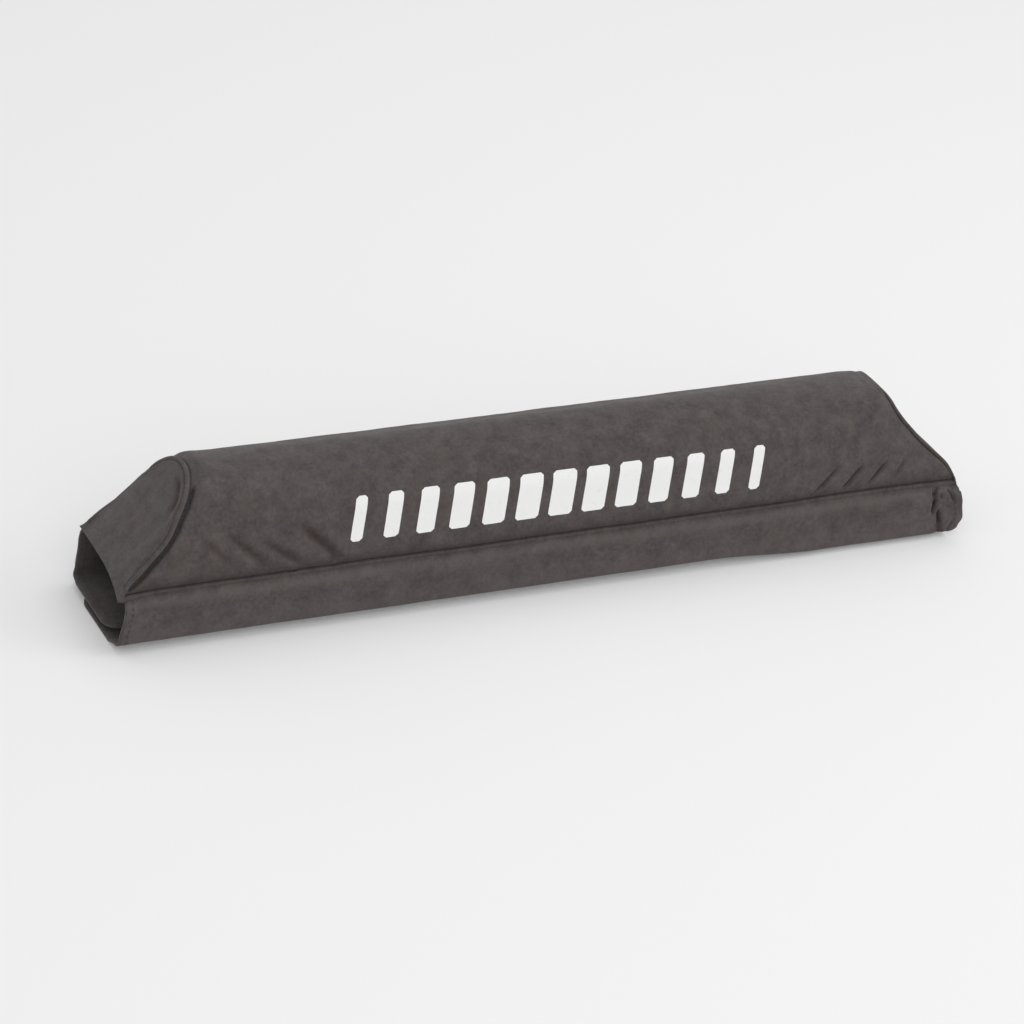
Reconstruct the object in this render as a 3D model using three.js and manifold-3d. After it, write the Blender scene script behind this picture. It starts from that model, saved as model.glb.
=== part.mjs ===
// Roof rack pad: a sewn, foam-filled cushion that wraps round one slat of a roof rack.
//
// Millimetres, +Z up. The pad lies along X, its front is -Y, and the origin is the middle of
// its underside. It is drawn as it sits on the slat, closed underneath, with the slat's place
// left empty as a tunnel.
//
// Pieces: a foam block; a cover of four cloth panels (top, base and two ends); two wrap flaps
// that are sewn into the long seams; and the two halves of the hook-and-loop closure between them.

import * as THREE from 'three';
import { mergeVertices } from 'three/addons/utils/BufferGeometryUtils.js';
import Module from 'manifold-3d';

const wasm = await Module();
wasm.setup();

// Slat that the pad is made for
const SLAT_WIDTH = 86;
const SLAT_HEIGHT = 18.4;
const SLAT_FIT = 0.25; // left free above and below the slat
const SLAT_SIDE_FIT = 1.1; // left free on each side of the slat

// Foam block
const FOAM_LENGTH = 597; // from nose to nose
const END_INSET = 51; // how far each end slopes in on its way up to the crown
const FOAM_HEIGHT = 72.9;
const FLANK_LEAN = 16; // degrees that each flank leans in
const SHOULDER_RADIUS = 18.7;
const CROWN_RADIUS = 58.7;
const END_BULGE = 0.6; // how far each end slope swells past a flat cut

// Mouth under each end, where the end panel arches over the slat
const MOUTH_RISE = 16; // height of the arch above the slat
const MOUTH_DEPTH = 20; // length of the undercut behind the arch
const MOUTH_ARCH = 4.5; // how much lower the undercut is at the slat's edges

// Cloth and seams
const CLOTH = 1; // coated woven cloth with its lining
const SEAM_HEIGHT = 16; // long seams, above the seat
const END_ROLL = 7; // how far each end panel is rolled over the crown and flanks, to its seam
const WELT_WIDTH = 3.6; // seam allowance, stitched down inside the edge of each end panel
const WELT_RISE = 0.7; // how much it raises the cloth

// Wrap flaps
const FLAP_OVERHANG = 3.5; // beyond the foam at each end
const FLAP_THICKNESS = 1.6; // two layers of the cloth
const FLAP_BEND_RADIUS = 2.5; // round the slat's lower edge, at the middle of the cloth
const FLAP_LEVEL_RADIUS = 6; // where the front flap runs level again below the closure
const FLAP_END_BOW = 3; // how far the flap ends curve in between their corners
const FLAP_TOP_CORNER = 5;
const FLAP_FREE_CORNER = 14;
const FLAP_MARGIN = 3; // cloth beyond the tape at a free edge

// Hook-and-loop closure
const TAPE_END_MARGIN = 22; // flap left bare beyond each end of the tape
const TAPE_WIDTH = 50;
const TAPE_THICKNESS = 1.6;
const TAPE_CORNER = 4;

const GAP = 0.3; // between pieces that lie on each other
const FACETS = 10; // straight steps along each round stretch
const OVERRUN = 20; // how far a cutting shape reaches past what it cuts

// Lengths
const FLAP_LENGTH = FOAM_LENGTH + 2 * FLAP_OVERHANG;
const TAPE_LENGTH = FLAP_LENGTH - 2 * TAPE_END_MARGIN;
const FREE_EDGE = TAPE_WIDTH / 2 + FLAP_MARGIN; // each flap's free edge, past the pad's middle

// Levels, from the underside up
const LOOP_TAPE_Z = FLAP_THICKNESS + GAP;
const HOOK_TAPE_Z = LOOP_TAPE_Z + TAPE_THICKNESS + GAP;
const REAR_FLAP_Z = HOOK_TAPE_Z + TAPE_THICKNESS + GAP;
const TUNNEL_FLOOR_Z = REAR_FLAP_Z + FLAP_THICKNESS;
const SEAT_Z = TUNNEL_FLOOR_Z + SLAT_HEIGHT + 2 * SLAT_FIT; // underside of the base panel
const SEAM_Z = SEAT_Z + SEAM_HEIGHT;
const FOAM_BASE_Z = SEAT_Z + CLOTH + GAP;
const FOAM_TOP_Z = FOAM_BASE_Z + FOAM_HEIGHT;

// Widths, from the slat out
const FLAP_Y = SLAT_WIDTH / 2 + SLAT_SIDE_FIT + FLAP_THICKNESS / 2; // middle of the cloth
const BASE_HALF_WIDTH = FLAP_Y - FLAP_THICKNESS / 2 - GAP;
const FOAM_BASE_HALF_WIDTH = BASE_HALF_WIDTH - CLOTH - GAP;
const FOAM_HALF_WIDTH = BASE_HALF_WIDTH; // above the seams the foam stands over the base panel

const COVER_INSIDE = GAP; // offsets from the foam
const COVER_OUTSIDE = GAP + CLOTH;

const rad = THREE.MathUtils.degToRad;

// Points of a round stretch, angles in radians
function arc(cx, cy, radius, from, to) {
  return new THREE.Path().absarc(cx, cy, radius, from, to, to < from).getPoints(FACETS);
}

function shapeOf(points) {
  return new THREE.Shape(points);
}

// Turns a closed geometry into a manifold solid
function solid(geometry) {
  geometry.deleteAttribute('normal');
  geometry.deleteAttribute('uv');
  const merged = mergeVertices(geometry, 1e-4);
  const mesh = new wasm.Mesh({
    numProp: 3,
    vertProperties: new Float32Array(merged.attributes.position.array),
    triVerts: new Uint32Array(merged.index.array),
  });
  return new wasm.Manifold(mesh);
}

// Shape drawn in Y and Z, run along X
function alongX(shape, length) {
  const geometry = new THREE.ExtrudeGeometry(shape, { depth: length, bevelEnabled: false });
  geometry.translate(0, 0, -length / 2);
  const basis = new THREE.Matrix4().makeBasis(
    new THREE.Vector3(0, 1, 0), new THREE.Vector3(0, 0, 1), new THREE.Vector3(1, 0, 0));
  geometry.applyMatrix4(basis);
  return solid(geometry);
}

// Shape drawn in X and Z, run along Y
function alongY(shape, length) {
  const geometry = new THREE.ExtrudeGeometry(shape, { depth: length, bevelEnabled: false });
  geometry.translate(0, 0, -length / 2);
  const basis = new THREE.Matrix4().makeBasis(
    new THREE.Vector3(1, 0, 0), new THREE.Vector3(0, 0, 1), new THREE.Vector3(0, -1, 0));
  geometry.applyMatrix4(basis);
  return solid(geometry);
}

// Shape drawn in X and Y, run up Z
function alongZ(shape, from, to) {
  const geometry = new THREE.ExtrudeGeometry(shape, { depth: to - from, bevelEnabled: false });
  geometry.translate(0, 0, from);
  return solid(geometry);
}

// Line over the foam above the seams, from the rear seam over the crown to the front seam,
// moved outwards by an offset: flank, shoulder, crown, shoulder, flank
function crownLine(offset, seamZ = SEAM_Z) {
  const lean = rad(FLANK_LEAN);
  const crownCentre = FOAM_TOP_Z - CROWN_RADIUS;
  // The shoulder's centre lies SHOULDER_RADIUS inside the flank and touches the crown from within
  const out = new THREE.Vector2(Math.cos(lean), Math.sin(lean));
  const up = new THREE.Vector2(-Math.sin(lean), Math.cos(lean));
  const flankFoot = new THREE.Vector2(FOAM_HALF_WIDTH, SEAM_Z - crownCentre);
  const foot = out.clone().multiplyScalar(out.dot(flankFoot) - SHOULDER_RADIUS);
  const reach = CROWN_RADIUS - SHOULDER_RADIUS;
  const along = Math.sqrt(reach * reach - foot.lengthSq());
  const shoulder = foot.addScaledVector(up, along);
  const join = Math.atan2(shoulder.y, shoulder.x);

  const rear = [];
  // The flank runs down to the seam, or to the level that is asked for
  const drop = shoulder.y + crownCentre + (SHOULDER_RADIUS + offset) * Math.sin(lean) - seamZ;
  const flankTop = shoulder.x + (SHOULDER_RADIUS + offset) * Math.cos(lean);
  rear.push(new THREE.Vector2(flankTop + drop * Math.tan(lean), seamZ));
  rear.push(...arc(shoulder.x, shoulder.y + crownCentre, SHOULDER_RADIUS + offset, lean, join));
  rear.push(...arc(0, crownCentre, CROWN_RADIUS + offset, join, Math.PI / 2).slice(1));
  const front = rear.slice(0, -1).reverse().map((p) => new THREE.Vector2(-p.x, p.y));
  return [...rear, ...front];
}

// Block between the two end slopes, moved outwards by an offset; each slope is one shallow arc
function betweenSlopes(offset) {
  const nose = new THREE.Vector2(FOAM_LENGTH / 2, SEAT_Z + MOUTH_RISE);
  const apex = new THREE.Vector2(FOAM_LENGTH / 2 - END_INSET, FOAM_TOP_Z);
  const chord = apex.clone().sub(nose);
  const radius = chord.lengthSq() / (8 * END_BULGE) + END_BULGE / 2;
  const inward = new THREE.Vector2(-chord.y, chord.x).normalize();
  const centre = nose.clone().add(apex).multiplyScalar(0.5);
  centre.addScaledVector(inward, radius - END_BULGE);
  const spread = OVERRUN / radius;
  const from = Math.atan2(nose.y - centre.y, nose.x - centre.x) - spread;
  const to = Math.atan2(apex.y - centre.y, apex.x - centre.x) + spread;
  const right = arc(centre.x, centre.y, radius + offset, from, to);
  right.unshift(new THREE.Vector2(right[0].x, SEAT_Z - OVERRUN));
  const left = [...right].reverse().map((p) => new THREE.Vector2(-p.x, p.y));
  return alongY(shapeOf([...right, ...left]), 2 * FOAM_HALF_WIDTH + 2 * OVERRUN);
}

// Arched space under both ends, whose roof is moved away from the foam by an offset
function mouths(offset) {
  const tilt = Math.atan2(MOUTH_RISE, MOUTH_DEPTH);
  const half = FOAM_HALF_WIDTH + OVERRUN;
  const radius = (BASE_HALF_WIDTH ** 2 + MOUTH_ARCH ** 2) / (2 * MOUTH_ARCH);
  const swing = Math.asin(half / radius);
  const roof = arc(0, -radius, radius - offset, Math.PI / 2 - swing, Math.PI / 2 + swing);
  const depth = 2 * MOUTH_DEPTH + 2 * OVERRUN;
  const floor = -MOUTH_RISE - 2 * OVERRUN;
  const shape = shapeOf([...roof, new THREE.Vector2(-half, floor), new THREE.Vector2(half, floor)]);
  const geometry = new THREE.ExtrudeGeometry(shape, { depth, bevelEnabled: false });
  geometry.translate(0, 0, -depth / 2);
  const basis = new THREE.Matrix4().makeBasis(
    new THREE.Vector3(0, 1, 0),
    new THREE.Vector3(-Math.sin(tilt), 0, Math.cos(tilt)),
    new THREE.Vector3(Math.cos(tilt), 0, Math.sin(tilt)));
  geometry.applyMatrix4(basis);
  geometry.translate(FOAM_LENGTH / 2 - MOUTH_DEPTH, 0, SEAT_Z);
  const left = geometry.clone().rotateZ(Math.PI);
  return solid(geometry).add(solid(left));
}

// Everything that the cover may fill at the ends, above and below the long seams
function coverEnvelope(crownOffset) {
  const upper = shapeOf(crownLine(crownOffset, SEAM_Z + GAP / 2));
  const lower = shapeOf([
    new THREE.Vector2(-BASE_HALF_WIDTH, SEAT_Z),
    new THREE.Vector2(BASE_HALF_WIDTH, SEAT_Z),
    new THREE.Vector2(BASE_HALF_WIDTH, SEAM_Z + CLOTH),
    new THREE.Vector2(-BASE_HALF_WIDTH, SEAM_Z + CLOTH),
  ]);
  const length = FOAM_LENGTH + 2 * OVERRUN;
  return alongX(upper, length).add(alongX(lower, length));
}

// One block of closed-cell foam: an arched loaf with sloped, slightly swollen ends
function foamCore() {
  const lowerHalf = FOAM_BASE_HALF_WIDTH;
  const upper = shapeOf(crownLine(0, SEAM_Z + GAP / 2));
  const lower = shapeOf([
    new THREE.Vector2(-lowerHalf, FOAM_BASE_Z),
    new THREE.Vector2(lowerHalf, FOAM_BASE_Z),
    new THREE.Vector2(lowerHalf, SEAM_Z + CLOTH),
    new THREE.Vector2(-lowerHalf, SEAM_Z + CLOTH),
  ]);
  const length = FOAM_LENGTH + 2 * OVERRUN;
  const loaf = alongX(upper, length).add(alongX(lower, length));
  return loaf.intersect(betweenSlopes(0)).subtract(mouths(0));
}

// Cloth over both flanks and the crown, from long seam to long seam, out to an offset
function crownBand(offset) {
  const seamZ = SEAM_Z + GAP / 2;
  const inside = crownLine(COVER_INSIDE, seamZ).reverse();
  return alongX(shapeOf([...crownLine(offset, seamZ), ...inside]), FOAM_LENGTH + 2 * OVERRUN);
}

// Top panel: one length of cloth over both flanks and the crown, from one end seam to the other
function topCover() {
  return crownBand(COVER_OUTSIDE).intersect(betweenSlopes(-END_ROLL));
}

// Both end panels: cloth down each end slope, rolled over the crown and flanks to a rim with
// a raised welt at the end seam, and turned under at the mouth to meet the base panel
function endPanels() {
  const filled = betweenSlopes(COVER_INSIDE).subtract(mouths(COVER_INSIDE));
  const slopes = coverEnvelope(COVER_OUTSIDE)
    .intersect(betweenSlopes(COVER_OUTSIDE))
    .subtract(mouths(COVER_OUTSIDE))
    .subtract(filled);
  const rims = crownBand(COVER_OUTSIDE).intersect(betweenSlopes(COVER_OUTSIDE));
  const welts = crownBand(COVER_OUTSIDE + WELT_RISE).intersect(betweenSlopes(GAP - END_ROLL + WELT_WIDTH));
  return slopes.add(rims.add(welts).subtract(betweenSlopes(GAP - END_ROLL)));
}

// One of the two end panels: 1 for the right end, -1 for the left
function endPanel(side) {
  const reach = FOAM_LENGTH + 2 * OVERRUN;
  const half = shapeOf([
    new THREE.Vector2(0, -reach),
    new THREE.Vector2(side * reach, -reach),
    new THREE.Vector2(side * reach, reach),
    new THREE.Vector2(0, reach),
  ]);
  return endPanels().intersect(alongZ(half, 0, FOAM_TOP_Z + OVERRUN));
}

// Base panel: a shallow tray under the foam, its sides turned up to the long seams
function basePanel() {
  const top = SEAM_Z - GAP / 2;
  const outer = BASE_HALF_WIDTH;
  const inner = BASE_HALF_WIDTH - CLOTH;
  const tray = shapeOf([
    new THREE.Vector2(-outer, SEAT_Z),
    new THREE.Vector2(outer, SEAT_Z),
    new THREE.Vector2(outer, top),
    new THREE.Vector2(inner, top),
    new THREE.Vector2(inner, SEAT_Z + CLOTH),
    new THREE.Vector2(-inner, SEAT_Z + CLOTH),
    new THREE.Vector2(-inner, top),
    new THREE.Vector2(-outer, top),
  ]);
  const sheet = alongX(tray, FOAM_LENGTH + 2 * OVERRUN);
  return sheet.intersect(betweenSlopes(0)).subtract(mouths(0));
}

// Slope, in radians, of cloth that leaves the bend at the slat's edge and runs level at a lower
// height from the other flap's free edge on: the common tangent of the two bends
function fallTo(level, bendStart) {
  const across = FLAP_Y - FLAP_BEND_RADIUS - FREE_EDGE;
  const down = bendStart - level - FLAP_LEVEL_RADIUS;
  const apart = Math.hypot(across, down);
  return Math.atan2(down, across) + Math.asin((FLAP_LEVEL_RADIUS - FLAP_BEND_RADIUS) / apart);
}

// Line along the middle of a flap's cloth, as [y, z] with its heading, for the front flap:
// down from the long seam, round the slat's lower edge, down to a level and along to the free edge
function flapRun(level) {
  const rearLevel = REAR_FLAP_Z + FLAP_THICKNESS / 2;
  const bendStart = rearLevel + FLAP_BEND_RADIUS;
  const fall = level < rearLevel ? fallTo(level, bendStart) : 0;
  const run = [{ at: new THREE.Vector2(-FLAP_Y, SEAM_Z - GAP / 2), heading: -Math.PI / 2 }];
  const place = new THREE.Vector2(-FLAP_Y, bendStart);
  let heading = -Math.PI / 2;
  run.push({ at: place.clone(), heading });
  const turn = (radius, angle) => {
    for (let i = 0; i < FACETS; i += 1) {
      const step = angle / FACETS;
      const length = 2 * radius * Math.sin(Math.abs(step) / 2);
      place.x += length * Math.cos(heading + step / 2);
      place.y += length * Math.sin(heading + step / 2);
      heading += step;
      run.push({ at: place.clone(), heading });
    }
  };
  turn(FLAP_BEND_RADIUS, Math.PI / 2 - fall);
  if (fall > 0) {
    const levelling = FLAP_LEVEL_RADIUS * (1 - Math.cos(fall));
    const slope = (place.y - level - levelling) / Math.sin(fall);
    place.x += slope * Math.cos(fall);
    place.y -= slope * Math.sin(fall);
    run.push({ at: place.clone(), heading });
    turn(FLAP_LEVEL_RADIUS, fall);
  }
  run.push({ at: new THREE.Vector2(FREE_EDGE, level), heading: 0 });
  return run;
}

// A flap's section: the run of its cloth given its thickness
function flapSection(run) {
  const half = FLAP_THICKNESS / 2;
  const side = (sign) => run.map(({ at, heading }) => new THREE.Vector2(
    at.x - sign * half * Math.sin(heading), at.y + sign * half * Math.cos(heading)));
  return shapeOf([...side(-1), ...side(1).reverse()]);
}

// A flap's outline seen from the front: ends that curve in, and rounded upper corners
function flapFrontOutline() {
  const x = FLAP_LENGTH / 2;
  const top = SEAM_Z - GAP / 2;
  const middle = top / 2;
  const radius = (middle ** 2 + FLAP_END_BOW ** 2) / (2 * FLAP_END_BOW);
  const swing = Math.asin(middle / radius);
  const bow = arc(x + radius - FLAP_END_BOW, middle, radius, Math.PI + swing, Math.PI - swing);
  const corner = arc(x - FLAP_TOP_CORNER, top - FLAP_TOP_CORNER, FLAP_TOP_CORNER, 0, Math.PI / 2);
  const below = bow.filter((p) => p.y < top - FLAP_TOP_CORNER);
  const right = [new THREE.Vector2(x, -OVERRUN), ...below, ...corner];
  const left = [...right].reverse().map((p) => new THREE.Vector2(-p.x, p.y));
  return shapeOf([...right, ...left]);
}

// A flap's outline seen from below: rounded corners at its free edge
function flapUnderOutline() {
  const x = FLAP_LENGTH / 2 + OVERRUN;
  const end = FLAP_LENGTH / 2;
  const r = FLAP_FREE_CORNER;
  const corner = arc(end - r, FREE_EDGE - r, r, 0, Math.PI / 2);
  const right = [
    new THREE.Vector2(x, -FLAP_Y - OVERRUN),
    new THREE.Vector2(x, -FLAP_Y + FLAP_THICKNESS),
    new THREE.Vector2(end, -FLAP_Y + FLAP_THICKNESS),
    ...corner,
  ];
  const left = [...right].reverse().map((p) => new THREE.Vector2(-p.x, p.y));
  return shapeOf([...right, ...left]);
}

// A wrap flap in the front flap's place, at a level for the middle of its cloth
function flap(level) {
  const length = FLAP_LENGTH + 2 * OVERRUN;
  return alongX(flapSection(flapRun(level)), length)
    .intersect(alongY(flapFrontOutline(), 2 * FLAP_Y + 2 * OVERRUN))
    .intersect(alongZ(flapUnderOutline(), -OVERRUN, SEAM_Z + OVERRUN));
}

// Front flap: the outer one, which comes down to pass under the closure
function frontWrapFlap() {
  return flap(FLAP_THICKNESS / 2);
}

// Rear flap: the inner one, straight under the slat; drawn as a front flap and turned round later
function rearWrapFlap() {
  return flap(REAR_FLAP_Z + FLAP_THICKNESS / 2);
}

// One half of the closure: a strip of tape with rounded corners
function tape(z) {
  const x = TAPE_LENGTH / 2;
  const y = TAPE_WIDTH / 2;
  const r = TAPE_CORNER;
  const quarter = (cx, cy, start) => arc(cx, cy, r, start, start + Math.PI / 2);
  const outline = [
    ...quarter(x - r, y - r, 0),
    ...quarter(-x + r, y - r, Math.PI / 2),
    ...quarter(-x + r, -y + r, Math.PI),
    ...quarter(x - r, -y + r, 1.5 * Math.PI),
  ];
  return alongZ(shapeOf(outline), z, z + TAPE_THICKNESS);
}

// A named mesh from a manifold solid
function piece(name, body, material) {
  const { vertProperties, triVerts, numProp } = body.getMesh();
  const position = new Float32Array(triVerts.length * 3);
  triVerts.forEach((vertex, i) => {
    for (let k = 0; k < 3; k += 1) position[3 * i + k] = vertProperties[vertex * numProp + k];
  });
  const geometry = new THREE.BufferGeometry();
  geometry.setAttribute('position', new THREE.BufferAttribute(position, 3));
  geometry.computeVertexNormals();
  const mesh = new THREE.Mesh(geometry, material);
  mesh.name = name;
  return mesh;
}

function cloth() {
  return new THREE.MeshStandardMaterial({ color: 0x4a4443, roughness: 0.85, metalness: 0 });
}

function foam() {
  return new THREE.MeshStandardMaterial({ color: 0x2c2c2e, roughness: 0.95, metalness: 0 });
}

function tapeBlack(roughness) {
  return new THREE.MeshStandardMaterial({ color: 0x1d1c1d, roughness, metalness: 0 });
}

const pad = new THREE.Group();
pad.add(piece('foam_core', foamCore(), foam()));
pad.add(piece('top_cover', topCover(), cloth()));
pad.add(piece('left_end_panel', endPanel(-1), cloth()));
pad.add(piece('right_end_panel', endPanel(1), cloth()));
pad.add(piece('base_panel', basePanel(), cloth()));
pad.add(piece('front_wrap_flap', frontWrapFlap(), cloth()));
const rearFlap = piece('rear_wrap_flap', rearWrapFlap(), cloth());
rearFlap.rotation.z = Math.PI;
pad.add(rearFlap);
pad.add(piece('hook_tape', tape(HOOK_TAPE_Z), tapeBlack(0.55)));
pad.add(piece('loop_tape', tape(LOOP_TAPE_Z), tapeBlack(0.9)));

export default pad;
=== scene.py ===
import math

import bmesh
import bpy
from mathutils import Matrix, Quaternion, Vector, kdtree, noise
from mathutils.bvhtree import BVHTree


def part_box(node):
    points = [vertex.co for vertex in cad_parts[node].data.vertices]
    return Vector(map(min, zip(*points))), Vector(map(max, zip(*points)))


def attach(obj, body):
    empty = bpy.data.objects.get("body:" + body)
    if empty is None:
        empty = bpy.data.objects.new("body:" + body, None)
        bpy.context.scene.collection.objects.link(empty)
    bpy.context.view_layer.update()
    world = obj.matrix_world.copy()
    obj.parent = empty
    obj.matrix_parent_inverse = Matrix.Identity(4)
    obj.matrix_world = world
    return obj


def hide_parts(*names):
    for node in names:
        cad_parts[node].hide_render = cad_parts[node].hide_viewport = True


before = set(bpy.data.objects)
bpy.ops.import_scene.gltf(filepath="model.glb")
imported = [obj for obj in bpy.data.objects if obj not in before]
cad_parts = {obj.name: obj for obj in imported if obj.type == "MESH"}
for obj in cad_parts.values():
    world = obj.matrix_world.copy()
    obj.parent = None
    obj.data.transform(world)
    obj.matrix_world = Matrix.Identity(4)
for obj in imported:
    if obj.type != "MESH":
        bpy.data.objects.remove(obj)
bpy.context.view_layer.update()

# Camera, lights and floor
# The pad is looked at from the front left and from above, two and a half metres away through
# a long lens. It lies on a plain pale floor under broad, even studio light.
MM = 0.001
CAMERA_PLACE = Vector((-1.0557, -1.9572, 1.2555))
CAMERA_AIM = Vector((-0.012, 0, 0.036))
CAMERA_ROLL = math.radians(6.65)
CAMERA_LENS = 135

FLOOR_HALF = 40
FLOOR_Z = -0.5 * MM
FLOOR_WHITE = (0.80, 0.80, 0.80, 1)
FLOOR_GLOW = 0.12
AMBIENT = 0.62

scene = bpy.context.scene
scene.view_settings.view_transform = "Standard"

camera = bpy.data.objects.new("camera", bpy.data.cameras.new("camera"))
scene.collection.objects.link(camera)
camera.data.lens = CAMERA_LENS
camera.location = CAMERA_PLACE
camera.rotation_mode = "QUATERNION"
camera.rotation_quaternion = (CAMERA_AIM - CAMERA_PLACE).to_track_quat("-Z", "Y")
camera.rotation_quaternion @= Quaternion((0, 0, 1), CAMERA_ROLL)
scene.camera = camera


def softbox(name, place, size, watts):
    """Square lamp that faces the middle of the pad"""
    lamp = bpy.data.objects.new(name, bpy.data.lights.new(name, "AREA"))
    lamp.data.size = size
    lamp.data.energy = watts
    lamp.location = place
    lamp.rotation_euler = (CAMERA_AIM - Vector(place)).to_track_quat("-Z", "Y").to_euler()
    scene.collection.objects.link(lamp)


softbox("softbox_above", (0.7, 0.4, 2.4), 2.2, 13)
softbox("softbox_front", (-0.7, -2.5, 1.7), 1.8, 18)
softbox("softbox_right", (2.2, -1.2, 1.4), 1.6, 15)


def shader(name):
    """New material, a way to add a node to it, and a way to fill its Principled shader's inputs"""
    material = bpy.data.materials.new(name)
    material.use_nodes = True
    tree = material.node_tree

    def fill(inputs, node=tree.nodes["Principled BSDF"]):
        for key, value in inputs.items():
            if isinstance(value, bpy.types.NodeSocket):
                tree.links.new(value, node.inputs[key])
            else:
                node.inputs[key].default_value = value

    def add(kind, inputs=None, **settings):
        node = tree.nodes.new("ShaderNode" + kind)
        for key, value in settings.items():
            setattr(node, key, value)
        fill(inputs or {}, node)
        return node

    return material, add, fill


world = bpy.data.worlds.new("studio")
scene.world = world
world.use_nodes = True
air = world.node_tree
air.nodes["Background"].inputs["Color"].default_value = (1, 1, 1, 1)
seen = air.nodes.new("ShaderNodeLightPath")
level = air.nodes.new("ShaderNodeMapRange")
level.inputs["To Min"].default_value = AMBIENT
level.inputs["To Max"].default_value = 1
air.links.new(seen.outputs["Is Camera Ray"], level.inputs["Value"])
air.links.new(level.outputs["Result"], air.nodes["Background"].inputs["Strength"])


def new_piece(name, bm, *materials):
    """Object of that name from a bmesh, shaded smooth, in the scene"""
    mesh = bpy.data.meshes.new(name)
    for face in bm.faces:
        face.smooth = True
    bm.to_mesh(mesh)
    bm.free()
    for material in materials:
        mesh.materials.append(material)
    piece = bpy.data.objects.new(name, mesh)
    scene.collection.objects.link(piece)
    return piece


floor_paint, floor_add, floor_fill = shader("floor_paint")
floor_ray = floor_add("LightPath")
floor_lift = floor_add("Math", {0: floor_ray.outputs["Is Camera Ray"], 1: FLOOR_GLOW}, operation="MULTIPLY")
floor_fill({
    "Base Color": FLOOR_WHITE, "Roughness": 0.9, "Specular IOR Level": 0,
    "Emission Color": (1, 1, 1, 1), "Emission Strength": floor_lift.outputs[0],
})
bm = bmesh.new()
bmesh.ops.create_grid(bm, x_segments=1, y_segments=1, size=FLOOR_HALF)
floor = new_piece("floor", bm, floor_paint)
floor.location.z = FLOOR_Z

# Foam block
# One block of closed-cell polyethylene foam, cut to an arched loaf with sloped ends that are
# undercut at the two mouths of the tunnel below. It fills the cover and is held by nothing else.
FLANK_LEAN = math.radians(16)
SHOULDER_RADIUS = 18.7 * MM
CROWN_RADIUS = 58.7 * MM
END_INSET = 51 * MM
MOUTH_DEPTH = 20 * MM
END_FACING = 0.2

# Dips of the long seams at the four corners, by (right end, rear). A size that differs between
# the ends is given for -1, the left one, and 1, the right one.
SEAM_DIPS = {
    (False, False): 3.2 * MM, (False, True): 0.8 * MM,
    (True, False): 2.5 * MM, (True, True): 3 * MM,
}
SEAM_DIP_REACH = 10 * MM
FRONT_SEAM_DROP = 1.6 * MM
SEAM_WAVER = 0.9 * MM
SEAM_WAVER_LENGTH = 90 * MM
SEAM_DIP_HEIGHT = 25 * MM
SLOPE_FOLLOWS_DIP = 0.6
END_ROLLS = {-1: 1.2 * MM, 1: 0.6 * MM}
END_ROLL_SWELLS = {-1: 6.4 * MM, 1: 0.4 * MM}
END_ROLLS_AT_SEAM = {-1: 2 * MM, 1: 0.8 * MM}
ROLL_WIDEST_AT = 0.47
ROLL_SPREAD = 0.24
ROLL_GROWS_BY = 0.12
ROLL_STEPS = 4
ROUNDED_REACH = 9 * MM
ROUNDED_FROM = 6 * MM
ROUNDING_PASSES = {-1: 7, 1: 4}

# How far the end slopes stand off a straight slope, from the long seams up to the crown: the
# height's share, and millimetres outwards at the front and at the rear of each end
END_SWELLS = {
    -1: ((0, -2.5, -6.5), (0.07, -2, -8.5), (0.25, -1.5, -8.5),
         (0.5, -1.2, -9.5), (0.75, 0, -8.7), (1, 2.5, -11.5)),
    1: ((0, -1.5, -1), (0.077, 1.5, 0.5), (0.215, 3.6, 0.8), (0.36, 0.4, 0),
        (0.5, -2, -1.5), (0.8, -3, -2.5), (1, 2.2, 1.8)),
}
CLOTH = 1 * MM
GAP = 0.3 * MM
LEDGE = 0.6 * MM
TINY = 0.01 * MM
FOAM_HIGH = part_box("foam_core")[1]
BASE_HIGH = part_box("base_panel")[1]
SEAT_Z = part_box("base_panel")[0].z
SEAM_Z = BASE_HIGH.z + GAP / 2
CLOTH_OUT = GAP + CLOTH
END_TAN = END_INSET / (FOAM_HIGH.z - SEAM_Z)
PANELS = ("top", "left_end", "right_end", "base")
ARC_STEPS = 26
SHOULDER_STEPS = 6
FLANK_STEPS = 14
WALL_STEPS = 5
STATIONS = 170
FOAM_SLACK = -0.4 * MM


def swing(bm, vert, centre, angle, steps, stride=(0, 0, 0)):
    """Row of edges drawn by a vertex that turns about a line along X, or moves on by strides"""
    out = bmesh.ops.spin(bm, geom=[vert], cent=centre, axis=(1, 0, 0), dvec=stride, angle=angle, steps=steps)
    return next(g for g in out["geom_last"] if isinstance(g, bmesh.types.BMVert))


def run(bm, vert, to, steps):
    """Straight row of edges drawn by a vertex that moves to a point"""
    return swing(bm, vert, (0, 0, 0), 0, steps, (Vector(to) - vert.co) / steps)


def measure(bm, layer):
    """Notes at each vertex of a drawn row how far along it lies, and returns the row's length"""
    drawn = list(bm.verts)
    for before, after in zip(drawn, drawn[1:]):
        after[layer] = before[layer] + (after.co - before.co).length
    return drawn[-1][layer]


def sweep(bm, stations):
    """Makes a row of edges a sheet of faces that reaches along X from -1 to 1"""
    bmesh.ops.translate(bm, verts=bm.verts, vec=(-1, 0, 0))
    bmesh.ops.spin(bm, geom=bm.verts[:] + bm.edges[:], cent=(0, 0, 0), axis=(1, 0, 0),
                   dvec=(2 / stations, 0, 0), angle=0, steps=stations)


def bump(value, middle, width):
    """Bell curve of height 1"""
    return math.exp(-((value - middle) / width) ** 2)


def smooth_step(value, low, high):
    """0 below low, 1 above high, and a smooth rise between"""
    t = min(1.0, max(0.0, (value - low) / (high - low)))
    return t * t * (3 - 2 * t)


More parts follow.
